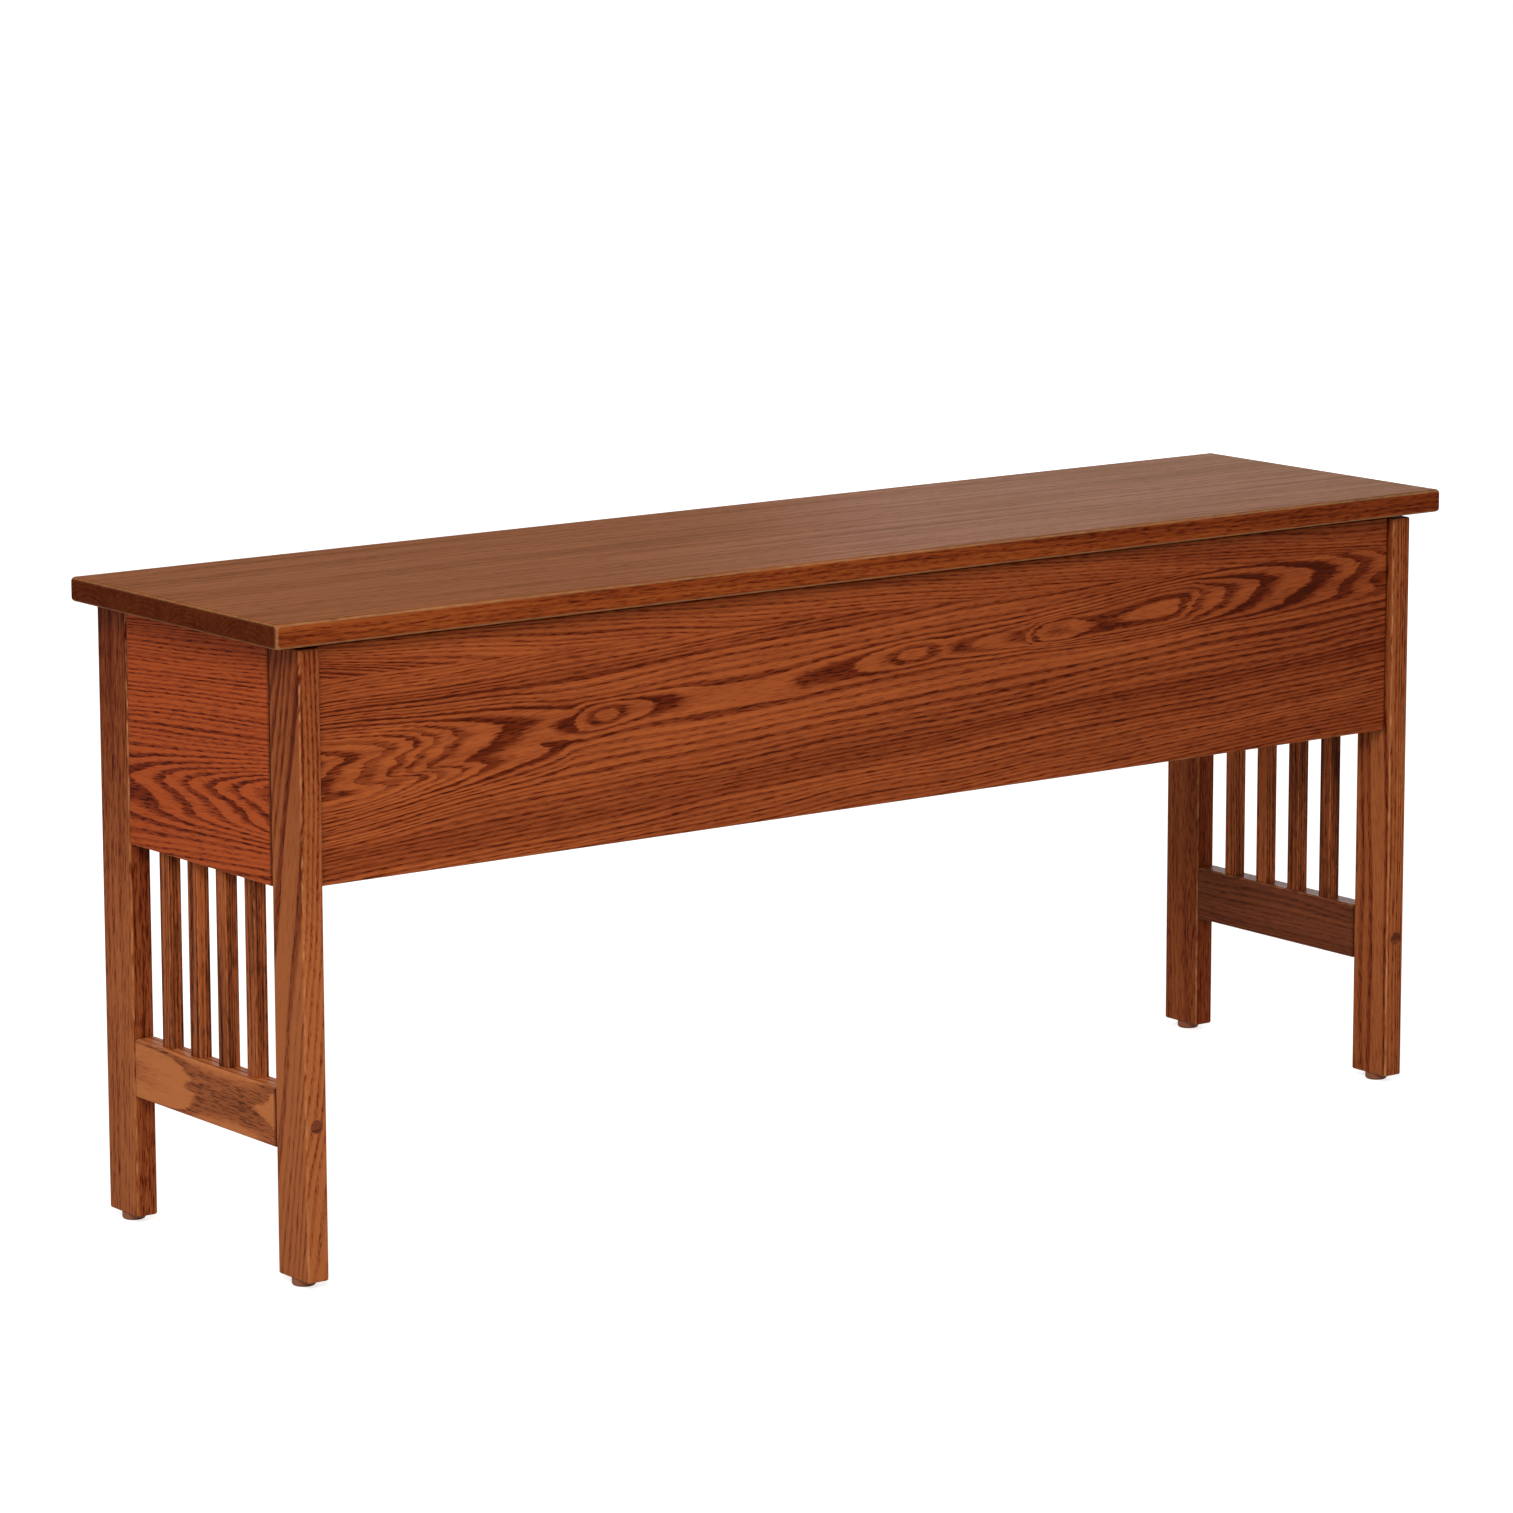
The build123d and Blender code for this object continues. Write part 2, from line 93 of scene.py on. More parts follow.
# How dark a ring is from its first pores, at 0, to its last dense wood, at 1
RING_PROFILE = [(0, 0.9), (0.04, 1), (0.28, 0.9), (0.44, 0.3), (0.58, 0), (0.92, 0), (1, 0.9)]


def new_group(name, inputs, outputs):
    """An empty node group with number sockets, and its input sockets by name."""
    group = bpy.data.node_groups.new(name, "ShaderNodeTree")
    for direction, socket_names in (("INPUT", inputs), ("OUTPUT", outputs)):
        for socket_name in socket_names:
            group.interface.new_socket(socket_name, in_out=direction, socket_type="NodeSocketFloat")
    return group, group.nodes.new("NodeGroupInput").outputs


def make_grain_noises():
    """The uneven patterns that every oak board has, each about zero."""
    group, given = new_group("Oak noises", ("Along", "Across", "Depth", "Seed"), GRAIN_NOISES)
    place = add_node(group, "ShaderNodeCombineXYZ", {
        "X": given["Along"], "Y": given["Across"], "Z": given["Depth"],
    })
    results = {}
    for name, (size, detail) in GRAIN_NOISES.items():
        scaled = add_node(group, "ShaderNodeVectorMath", {0: place, 1: size}, operation="DIVIDE")
        noise = add_node(group, "ShaderNodeTexNoise", {
            "Vector": scaled, "W": given["Seed"], "Scale": 1, "Detail": detail, "Roughness": 0.65,
        }, noise_dimensions="4D")
        results[name] = add_node(group, "ShaderNodeMath", {0: noise, 1: 0.5}, operation="SUBTRACT")
    add_node(group, "NodeGroupOutput", results)
    return group


def make_growth_rings():
    """From a place about the pith to how dark its year's band is there."""
    group, given = new_group(
        "Growth rings", ("Across", "Depth", "Pith depth", "Ring width", "Lift", "Seed"), ("Band",),
    )
    depth = add_node(group, "ShaderNodeMath", {0: given["Depth"], 1: given["Pith depth"]}, operation="ADD")
    from_pith = add_node(group, "ShaderNodeCombineXYZ", {"Y": given["Across"], "Z": depth})
    radius = add_node(group, "ShaderNodeVectorMath", {0: from_pith}, operation="LENGTH").outputs["Value"]
    grown = add_node(group, "ShaderNodeMath", {0: radius, 1: given["Pith depth"]}, operation="SUBTRACT")
    rings = add_node(group, "ShaderNodeMath", {0: grown, 1: given["Ring width"]}, operation="DIVIDE")
    rings = add_node(group, "ShaderNodeMath", {0: rings, 1: given["Lift"]}, operation="ADD")

    # Wet and dry years spread and crowd the rings, and make some darker
    age = add_node(group, "ShaderNodeMath", {0: rings, 1: SPELL, 2: given["Seed"]}, operation="MULTIPLY_ADD")
    uneven = add_node(group, "ShaderNodeTexNoise", {"W": age, "Scale": 1, "Detail": 0}, noise_dimensions="1D")
    rings = add_node(group, "ShaderNodeMath", {
        0: uneven, 1: SPELL_SHIFT, 2: rings,
    }, operation="MULTIPLY_ADD")
    year = add_node(group, "ShaderNodeMath", {0: rings}, operation="FLOOR")
    year = add_node(group, "ShaderNodeMath", {0: year, 1: given["Seed"]}, operation="ADD")
    darkness = add_node(group, "ShaderNodeTexWhiteNoise", {"W": year}, noise_dimensions="1D")
    darkness = add_node(group, "ShaderNodeMapRange", {"Value": darkness, "To Min": PALEST_YEAR, "To Max": 1})

    share = add_node(group, "ShaderNodeMath", {0: rings}, operation="FRACT")
    band = add_node(group, "ShaderNodeValToRGB", {"Fac": share})
    set_stops(band, RING_PROFILE)
    band = add_node(group, "ShaderNodeMath", {0: band, 1: darkness}, operation="MULTIPLY")
    add_node(group, "NodeGroupOutput", {"Band": band})
    return group


grain_noises = make_grain_noises()
growth_rings = make_growth_rings()


def follow(tree, place, points):
    """The height at a place of a smooth line through points, each a place and a height."""
    places, heights = zip(*points)
    length, low, rise = places[-1] - places[0], min(heights), max(heights) - min(heights)
    share = add_node(tree, "ShaderNodeMath", {
        0: place, 1: 1 / length, 2: -places[0] / length,
    }, operation="MULTIPLY_ADD", use_clamp=True)
    line = add_node(tree, "ShaderNodeFloatCurve", {"Value": share})
    knots = line.mapping.curves[0].points
    for _ in points[2:]:
        knots.new(0.5, 0.5)
    for knot, (spot, height) in zip(knots, points):
        knot.location = ((spot - places[0]) / length, (height - low) / rise)
        knot.handle_type = "AUTO_CLAMPED"
    line.mapping.update()
    return add_node(tree, "ShaderNodeMath", {0: line, 1: rise, 2: low}, operation="MULTIPLY_ADD")


# The stain, from the dense wood of a ring to its open pores. Colours as seen, in soft white light.
FRONT_STAIN = ("#ae582a", "#934621", "#66240b", "#451505")
SIDE_STAIN = ("#b65224", "#9e421b", "#6c2309", "#481404")
LEG_STAIN = ("#ad6234", "#964f28", "#6c280d", "#471808")
RAIL_STAIN = ("#c47440", "#ac5f34", "#763c20", "#4c2410")
LID_STAIN = ("#964a20", "#843b18", "#5f2410", "#431608")
INSIDE_STAIN = ("#a5643a", "#92542f", "#6f3b20", "#522a16")
SLAT_STAIN = ("#ac5c30", "#8a4623", "#562710", "#38160a")
# The rail's colours darkened for painted shade under the box, for the right rail
RIGHT_RAIL_SHADED_STAIN = ("#84472a", "#703a23", "#4f2615", "#3a180c")
PLUG_STAIN = ("#7c4026", "#6d3520", "#552717", "#41190d")
STAIN_PLACES = (0.0, 0.3, 0.72, 1.0)
END_GRAIN = "#40170c"
# Near ends that meet other boards: partly stain gathered in the joint, partly painted shade in the groove
JOINT_STAIN_AND_SHADE = "#3c150a"
# Lighter colour of eased edges: partly stain rubbed thin, partly a painted highlight where lacquered edges
# catch the light
RUBBED_EDGE_AND_HIGHLIGHT = "#c08050"
# Tint of upward faces: partly the wood's own browner tone, partly a painted sheen
TOP_TONE_AND_SHEEN = "#905c20"

# What a board has unless it says otherwise. Lengths are millimetres. All that darkens is in shares of
# the way from dense wood to open pores.
PLAIN_BOARD = {
    "pith_across": 0,   # where the pith lay, to the side of the board's middle
    "pith_depth": 60,   # and how far under it
    "slope": 0,   # how much the pith's line runs aslant
    "wander": 9,   # and how far it bends
    "ring_width": 3.4,
    "upper_share": 1,   # how many times closer the rings are on the side above the pith
    "crowding": 0,   # and how much closer with each millimetre away from it
    "figure": None,   # lines for where points and ovals lie, as in FRONT_FIGURE
    "joints": (),   # glued staves: where each starts, how far its pith is moved, and its added slope
    "darker": 0.1,   # how dark the whole board is
    "contrast": 0.9,   # how much the rings darken it
    "texture": 0.2,   # the single pores
    "streaks": 0.9,   # long soft streaks
    "deeper": 0,   # how much darker it gets the way to its far end; on the legs, painted shade under the lid
    "sideways_painted_shade": 0,   # painted shade on faces that look sideways across the board
    "dark_bands": (),   # places beside the pith's line, half widths and strengths
    "faded": (0, 0),   # how strongly the upward face is tinted, partly to its own browner tone and partly with a painted sheen, at the near end and at the far one
    "gloss": 0.035,
    "edge": RUBBED_EDGE_AND_HIGHLIGHT,
    "rubbed": (0.25, 1.6),   # how much the edges are lightened, by wear and a painted highlight, and how unevenly
    "hidden_ends": False,   # whether its ends meet other boards, which darkens them there: partly stain gathered in the joint, partly painted shade
    "seed": 0,
}
STEEP_CUT, FLAT_CUT = 0.7, 1.15   # how strongly rings show where they are cut steeply, and flat
PORE_SHARE = 0.13   # noise above zero that counts as a whole pore


def glue_staves(tree, along, across, joints, seed):
    """Staves glued side by side each have their own grain: gives the place across the stave's own
    tree, and a number that tells the staves apart."""
    whole_width = across
    stave = add_node(tree, "ShaderNodeMath", {0: 0.0, 1: seed}, operation="ADD")
    for joint, sideways, turn in joints:
        beyond = add_node(tree, "ShaderNodeMath", {0: whole_width, 1: joint}, operation="GREATER_THAN")
        moved = add_node(tree, "ShaderNodeMath", {0: along, 1: turn, 2: sideways}, operation="MULTIPLY_ADD")
        across = add_node(tree, "ShaderNodeMath", {
            0: beyond, 1: moved, 2: across,
        }, operation="MULTIPLY_ADD")
        stave = add_node(tree, "ShaderNodeMath", {0: beyond, 1: 3.7, 2: stave}, operation="MULTIPLY_ADD")
    return across, stave


def cut_figure(tree, noises, along, across, length, figure):
    """By how many rings the pith lies lower at a place, which makes the points and ovals, and how
    near the place is to the pith's line, from 0 to 1."""
    # Long vessels give the bands teeth where they cross the grain
    ragged = add_node(tree, "ShaderNodeMath", {
        0: noises["Teeth"], 1: TOOTH_LENGTH, 2: along,
    }, operation="MULTIPLY_ADD")
    from_end = add_node(tree, "ShaderNodeMath", {0: ragged, 1: length / 2}, operation="ADD")
    woven = add_node(tree, "ShaderNodeMath", {
        0: noises["Weave"], 1: WEAVE_LENGTH, 2: from_end,
    }, operation="MULTIPLY_ADD")
    forked = add_node(tree, "ShaderNodeMath", {
        0: follow(tree, across, figure["fork"]), 1: follow(tree, from_end, figure["fork share"]),
    }, operation="MULTIPLY")
    spot = add_node(tree, "ShaderNodeMath", {0: woven, 1: forked}, operation="ADD")

    away = add_node(tree, "ShaderNodeMath", {0: across}, operation="ABSOLUTE")
    away = add_node(tree, "ShaderNodeMath", {
        0: away, 1: follow(tree, spot, figure["reach"]),
    }, operation="DIVIDE")
    near = add_node(tree, "ShaderNodeMath", {0: away, 1: 4}, operation="POWER")
    near = add_node(tree, "ShaderNodeMath", {0: 0, 1: near}, operation="SUBTRACT")
    near = add_node(tree, "ShaderNodeMath", {0: near}, operation="EXPONENT")
    lift = add_node(tree, "ShaderNodeMath", {
        0: follow(tree, spot, figure["lift"]), 1: near,
    }, operation="MULTIPLY")
    return lift, near


def crowd_rings(tree, across, upper_share, crowding):
    """Rings are narrower on one side of the pith than on the other, and the tree's last ones crowd:
    gives the place across where even rings would be the same ones."""
    upper = add_node(tree, "ShaderNodeMath", {0: across, 1: 0}, operation="MAXIMUM")
    spread = add_node(tree, "ShaderNodeMath", {
        0: upper, 1: upper_share - 1, 2: across,
    }, operation="MULTIPLY_ADD")
    outward = add_node(tree, "ShaderNodeMath", {0: across}, operation="ABSOLUTE")
    crowded = add_node(tree, "ShaderNodeMath", {0: outward, 1: crowding, 2: 1}, operation="MULTIPLY_ADD")
    return add_node(tree, "ShaderNodeMath", {0: spread, 1: crowded}, operation="MULTIPLY")


def darken(tree, dark, patterns, across, dark_bands):
    """How dark the stain is once patterns, each with its share, and dark bands are added."""
    for pattern, share in patterns:
        dark = add_node(tree, "ShaderNodeMath", {0: pattern, 1: share, 2: dark}, operation="MULTIPLY_ADD")
    for band_place, half_width, strength in dark_bands:
        away = add_node(tree, "ShaderNodeMath", {0: across, 1: band_place}, operation="SUBTRACT")
        away = add_node(tree, "ShaderNodeMath", {0: away}, operation="ABSOLUTE")
        soft = add_node(tree, "ShaderNodeMapRange", {
            "Value": away, "From Min": 1.8 * half_width, "From Max": 0, "To Max": strength,
        }, interpolation_type="SMOOTHSTEP")
        dark = add_node(tree, "ShaderNodeMath", {0: dark, 1: soft}, operation="ADD")
    return dark


def fade(tree, wood, normal, far, faded):
    """The wood's colour where it faces up, tinted partly to its own browner tone and partly with a painted
    sheen.
    """
    near_end, far_end = faded
    upward = add_node(tree, "ShaderNodeSeparateXYZ", {"Vector": normal}).outputs["Z"]
    top_tint_share = add_node(tree, "ShaderNodeMath", {
        0: far, 1: far_end - near_end, 2: near_end,
    }, operation="MULTIPLY_ADD")
    share = add_node(tree, "ShaderNodeMapRange", {
        "Value": upward, "From Min": 0.9, "From Max": 1, "To Max": top_tint_share,
    })
    return add_node(tree, "ShaderNodeMixRGB", {"Fac": share, "Color1": wood, "Color2": colour(TOP_TONE_AND_SHEEN)})


def rub_and_highlight_edges(tree, wood, turned, teeth, rubbed, edge):
    """The wood's colour, lighter here and there on the eased edges, which face no axis: partly stain rubbed
    thin and partly a painted highlight.
    """
    wear_and_highlight, uneven = rubbed
    flattest = add_node(tree, "ShaderNodeMath", {0: turned["X"], 1: turned["Y"]}, operation="MAXIMUM")
    flattest = add_node(tree, "ShaderNodeMath", {0: flattest, 1: turned["Z"]}, operation="MAXIMUM")
    bare_and_highlight = add_node(tree, "ShaderNodeMath", {0: teeth, 1: uneven, 2: wear_and_highlight}, operation="MULTIPLY_ADD")
    share = add_node(tree, "ShaderNodeMapRange", {
        "Value": flattest, "From Min": 0.98, "From Max": 0.8, "To Max": bare_and_highlight,
    }, interpolation_type="SMOOTHSTEP")
    return add_node(tree, "ShaderNodeMixRGB", {"Fac": share, "Color1": wood, "Color2": colour(edge)})


def darken_ends(tree, wood, endways, along, length, hidden_ends):
    """The wood's colour, darker on end grain, which drinks more stain, and near ends that meet boards: partly
    stain gathered in the joint, partly painted shade in the groove.
    """
    share = add_node(tree, "ShaderNodeMapRange", {
        "Value": endways, "From Min": 0.6, "From Max": 0.95, "To Max": 0.7,
    }, interpolation_type="SMOOTHSTEP")
    wood = add_node(tree, "ShaderNodeMixRGB", {"Fac": share, "Color1": wood, "Color2": colour(END_GRAIN)})
    # Near hidden ends: stain gathered in the joint and painted shade
    if hidden_ends:
        from_middle = add_node(tree, "ShaderNodeMath", {0: along}, operation="ABSOLUTE")
        share = add_node(tree, "ShaderNodeMapRange", {
            "Value": from_middle, "From Min": length / 2 - 2.6, "From Max": length / 2 - 0.8, "To Max": 0.85,
        })
        wood = add_node(tree, "ShaderNodeMixRGB", {
            "Fac": share, "Color1": wood, "Color2": colour(JOINT_STAIN_AND_SHADE),
        })
    return wood


def oak(name, stain, order, centre, length, **own_grain):
    """A stained oak board's material. order names the axes along, across and through the board,
    centre is its middle, and own_grain says how it differs from PLAIN_BOARD."""
    grain = {**PLAIN_BOARD, **own_grain}
    material, tree, output = new_material(name)
    coordinates = tree.nodes.new("ShaderNodeTexCoord")
    place = add_node(tree, "ShaderNodeMapping", {
        "Vector": coordinates.outputs["Object"], "Location": [-MILLIMETRES * value for value in centre],
        "Scale": (MILLIMETRES,) * 3,
    })
    axes = add_node(tree, "ShaderNodeSeparateXYZ", {"Vector": place}).outputs
    along, across, depth = (axes[letter.upper()] for letter in order)
    normal = coordinates.outputs["Normal"]
    facing = add_node(tree, "ShaderNodeVectorMath", {0: normal}, operation="ABSOLUTE")
    turned = add_node(tree, "ShaderNodeSeparateXYZ", {"Vector": facing}).outputs
    endways, sideways, _ = (turned[letter.upper()] for letter in order)

    # The pith's line runs a little aslant and bends, and the vessels run with it
    across, stave = glue_staves(tree, along, across, grain["joints"], grain["seed"])
    aside = add_node(tree, "ShaderNodeMath", {
        0: along, 1: -grain["slope"], 2: -grain["pith_across"],
    }, operation="MULTIPLY_ADD")
    across = add_node(tree, "ShaderNodeMath", {0: across, 1: aside}, operation="ADD")
    noises = add_node(tree, "ShaderNodeGroup", {
        "Along": along, "Across": across, "Depth": depth, "Seed": stave,
    }, node_tree=grain_noises).outputs
    across = add_node(tree, "ShaderNodeMath", {
        0: noises["Bend"], 1: grain["wander"], 2: across,
    }, operation="MULTIPLY_ADD")

    lift, contrast = 0.0, grain["contrast"]
    if grain["figure"]:
        lift, near = cut_figure(tree, noises, along, across, length, grain["figure"])

        # Where a ring is cut flat its pores lie open widest and take the most stain
        contrast = add_node(tree, "ShaderNodeMapRange", {
            "Value": near, "To Min": STEEP_CUT * grain["contrast"], "To Max": FLAT_CUT * grain["contrast"],
        })
    spread = crowd_rings(tree, across, grain["upper_share"], grain["crowding"])
    ring = add_node(tree, "ShaderNodeGroup", {
        "Across": spread, "Depth": depth, "Pith depth": grain["pith_depth"],
        "Ring width": grain["ring_width"], "Lift": lift, "Seed": stave,
    }, node_tree=growth_rings)

    # How much stain shows: the ring's band, broken up by pores, and what the board adds to it
    pores = add_node(tree, "ShaderNodeMapRange", {"Value": noises["Pores"], "From Max": PORE_SHARE})
    broken = add_node(tree, "ShaderNodeMath", {0: pores, 1: 0.4, 2: 0.65}, operation="MULTIPLY_ADD")
    ring = add_node(tree, "ShaderNodeMath", {0: ring, 1: broken}, operation="MULTIPLY")
    dark = add_node(tree, "ShaderNodeMath", {
        0: ring, 1: contrast, 2: grain["darker"],
    }, operation="MULTIPLY_ADD")
    # Darker the way to the far end: on the legs, painted shade under the lid
    far = add_node(tree, "ShaderNodeMapRange", {
        "Value": along, "From Min": -length / 8, "From Max": length / 2,
    })
    # Among what the board adds, darkening of sideways faces is painted shade
    patterns = [
        (pores, grain["texture"]), (far, grain["deeper"]), (sideways, grain["sideways_painted_shade"]),
        (noises["Streaks"], grain["streaks"]),
    ]
    dark = darken(tree, dark, patterns, across, grain["dark_bands"])
    wood = add_node(tree, "ShaderNodeValToRGB", {"Fac": dark})
    set_stops(wood, [(spot, colour(code)) for spot, code in zip(STAIN_PLACES, stain)])
    # Upward faces: own browner tone and painted sheen
    wood = fade(tree, wood, normal, far, grain["faded"])
    # Eased edges lighter: wear and a painted highlight
    wood = rub_and_highlight_edges(tree, wood, turned, noises["Teeth"], grain["rubbed"], grain["edge"])
    # Ends: end grain, joint stain and painted shade
    wood = darken_ends(tree, wood, endways, along, length, grain["hidden_ends"])

    # Satin lacquer, which the open pores show through as fine grooves
    dull = add_node(tree, "ShaderNodeMapRange", {"Value": dark, "To Min": 0.36, "To Max": 0.5})
    grooves = add_node(tree, "ShaderNodeBump", {
        "Height": pores, "Strength": 0.25, "Distance": 0.0002,
    }, invert=True)
    shader = add_node(tree, "ShaderNodeBsdfPrincipled", {
        "Base Color": wood, "Roughness": dull, "Normal": grooves, "IOR": 1.5,
        "Specular IOR Level": grain["gloss"],
    })
    tree.links.new(shader.outputs[0], output.inputs["Surface"])
    return material


def board(node_name, label, stain, order, **grain):
    """Gives one CAD board its own oak, worked out from the board's box."""
    low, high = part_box(node_name)
    length = MILLIMETRES * (high - low)["xyz".index(order[0])]
    material = oak("Stained red oak, " + label, stain, order, (low + high) / 2, length, **grain)
    finish_nodes([node_name], material)


# Front panel: one wide board, whose row of points and ovals climbs to the right, under a narrow
# stave glued on top. Three lines start at its left end: lift is by how many rings the pith lies
# lower, reach how far that goes to each side, and fork share how strongly the points fork. The
# fourth, fork, runs across from the pith's line and says how far a point is set back.
FRONT_FIGURE = {
    "lift": [
        (0, -6.6), (33, -5.5), (58, -4.5), (80, -3.5), (101, -2.5), (133, -1.5), (190, -0.5), (207, -0.2),
        (216, -0.5), (228, -1.5), (245, -1.9), (262, -1.5), (306, -0.5), (345, 0), (395, -0.1),
        (420, -0.5), (450, -0.7), (495, -1.5), (520, -1.9), (544, -1.5), (549, -1.35), (556, -1.5),
        (625, -2.5), (640, -3.5), (658, -3.9), (678, -3.5), (700, -3.3), (765, -3.5), (801, -2.5),
        (840, -1.5), (877, -0.5), (928, 0.5), (970, 1.5), (988, 2),
    ],
    "reach": [
        (0, 48), (140, 42), (200, 24), (245, 12), (330, 10), (420, 10), (520, 10), (600, 13), (660, 14),
        (760, 19), (860, 24), (988, 24),
    ],
    "fork": [
        (-60, 50), (-45, 15), (-33, -28), (-24, -42), (-16, -20), (-8, 20), (-2, 20), (5, 2), (10, -4),
        (17, 2), (27, 25), (60, 50),
    ],
    "fork share": [(0, 1), (190, 0.9), (230, 0.1), (700, 0.1), (800, 0.5), (988, 0.5)],
}
board(
    "front_panel", "front panel", FRONT_STAIN, "xzy", pith_across=22.2, slope=0.053, pith_depth=40,
    ring_width=4.2, wander=9, upper_share=1.2, crowding=0.0018, figure=FRONT_FIGURE,
    dark_bands=[(37, 6, 0.2), (-64, 9, 0.22)], joints=[(60, 20, 0.1)], deeper=0.2, seed=1.3,
    hidden_ends=True,
)

# Side panels: fine lines above, and forked points below that open towards the front
SIDE_FIGURE = {
    "lift": [(0, -4.7), (25, -4), (63, -3), (105, -2), (145, -1), (188, 0)],
    "reach": [(0, 30), (100, 28), (188, 26)],
    "fork": [(-60, 50), (-38, 22), (-22, 5), (-8, 32), (8, 0), (20, 14), (60, 50)],
    "fork share": [(0, 1), (188, 0.9)],
}
for side, seed in (("left", 5.2), ("right", 8.9)):
    board(
        "side_panel_" + side, side + " side panel", SIDE_STAIN, "yzx", pith_across=-32.5, slope=-0.07,
        pith_depth=55, ring_width=4.6, wander=3, figure=SIDE_FIGURE, upper_share=1.25, crowding=0.0018,
        darker=-0.03, contrast=1.3, texture=0.28, seed=seed, hidden_ends=True,
    )

# Back panel: its board lay the other way round
FRONT_LENGTH = 988
BACK_FIGURE = dict(FRONT_FIGURE)
for line in ("lift", "reach", "fork share"):
    BACK_FIGURE[line] = [(FRONT_LENGTH - spot, height) for spot, height in reversed(FRONT_FIGURE[line])]
board(
    "back_panel", "back panel", FRONT_STAIN, "xzy", pith_across=-14, slope=-0.03, pith_depth=38,
    ring_width=3.6, wander=12, figure=BACK_FIGURE, joints=[(-52, 70, 0)], seed=12.1, hidden_ends=True,
)

# Legs: plain-sawn, the wide face to the bench's end, each from another board
# The darkening toward the leg tops is painted shade under the lid, the darkening of the back legs' front
# faces is painted shade, and the right legs' darker values are painted shade under the box
LEG_GRAIN = {
    "front_left": {
        "pith_across": 5, "slope": -0.18, "pith_depth": 55, "ring_width": 4, "wander": 14,
        "darker": -0.14, "contrast": 0.85, "streaks": 0.5, "deeper": 0.5, "rubbed": (0.3, 1.8),
    },
    "front_right": {
        "pith_across": -6, "slope": 0.02, "pith_depth": 50, "ring_width": 2.8, "wander": 12,
        "contrast": 0.75, "darker": 0.12, "texture": 0.26, "deeper": 0.1, "rubbed": (0.45, 1.8),
    },
    "back_left": {
        "pith_across": 34, "slope": -0.012, "contrast": 0.3, "darker": 0, "texture": 0.4, "deeper": 0.55,
        "sideways_painted_shade": 0.35, "rubbed": (0.3, 2),
    },
    "back_right": {
        "pith_across": -18, "slope": 0.016, "contrast": 0.4, "darker": 0.22, "texture": 0.3,
        "sideways_painted_shade": 0.25, "rubbed": (0.6, 1.8),
    },
}
for index, (name, grain) in enumerate(LEG_GRAIN.items()):
    label = name.replace("_", " ") + " leg"
    board("leg_" + name, label, LEG_STAIN, "zyx", seed=20 + 2.3 * index, **grain)

# Rails: the left one is cut so flat that one dark year covers its middle
RAIL_FIGURE = {
    "lift": [(0, -0.3), (20, -0.1), (40, 0.16), (105, 0.2), (130, 0.06), (150, -0.2), (188, -0.35)],
    "reach": [(0, 62), (188, 60)],
    "fork": [(-21, 0), (-8, 25), (0, 5), (8, 18), (21, 0)],
    "fork share": [(0, 1), (188, 0.9)],
}
board(
    "lower_rail_left", "left rail", RAIL_STAIN, "yzx", pith_depth=110, ring_width=4.5, wander=14,
    figure=RAIL_FIGURE, darker=-0.04, contrast=0.8, texture=0.12, seed=31, hidden_ends=True,
)
# The right rail's darker stain and darker value are painted shade under the box
board(
    "lower_rail_right", "right rail in painted shade", RIGHT_RAIL_SHADED_STAIN, "yzx", pith_across=30, pith_depth=30,
    ring_width=3.2, contrast=0.5, darker=0.2, seed=35, hidden_ends=True,
)

# Slats: sawn from several boards, some darker than others
SLAT_DARKNESS = {"left": (0.12, 0.1, 0, 0.1), "right": (0.34, 0.14, -0.1, -0.2)}
for index, (side, darkness) in enumerate(SLAT_DARKNESS.items()):
    for number, darker in enumerate(darkness, start=1):
        board(
            f"slat_{side}_{number}", f"{side} slat {number}", SLAT_STAIN, "zyx",
            pith_across=8 * math.sin(5 * number + index), slope=0.02 * math.sin(number), pith_depth=20,
            ring_width=2.4, contrast=0.8, darker=darker, streaks=3.2, texture=0.32,
            seed=40 + 5 * index + number,
        )

# Lid: four staves glued edge to edge. Its upward face is tinted partly to its own browner tone and partly
# with a painted sheen that grows toward the far end, and its edges get a pale painted highlight with some
# wear.
board(
    "lid", "lid", LID_STAIN, "xyz", pith_across=-96, pith_depth=48, ring_width=3.3, wander=14,
    joints=[(-66, -70, 0), (2, -62, 0), (70, -74, 0)], seed=60, darker=0.12, contrast=0.5, streaks=1.7,
    deeper=0.25, faded=(0.4, 0.55), gloss=0.004, edge="#b48a5c", texture=0.35, rubbed=(0.45, 0.6),
)

# Small boards inside, and the plugs
for index, name in enumerate(("left", "right")):
    board(
        "lid_batten_" + name, name + " batten", INSIDE_STAIN, "yxz", pith_across=8, pith_depth=40,
        seed=70 + index,
    )
for index, (name, order) in enumerate((("front", "xzy"), ("back", "xzy"), ("left", "yzx"), ("right", "yzx"))):
    board(
        "floor_cleat_" + name, name + " cleat", INSIDE_STAIN, order, pith_across=4, pith_depth=30,
        seed=80 + index,
    )
for index, name in enumerate(("front_left", "front_right", "back_left", "back_right")):
    label = name.replace("_", " ")
    board(
        "corner_block_" + name, label + " block", INSIDE_STAIN, "zyx", pith_across=5, pith_depth=26,
        seed=90 + index,
    )
    board(
        "plug_" + name, label + " plug", PLUG_STAIN, "xzy", pith_across=3, pith_depth=20,
        ring_width=2.4, seed=100 + index,
    )


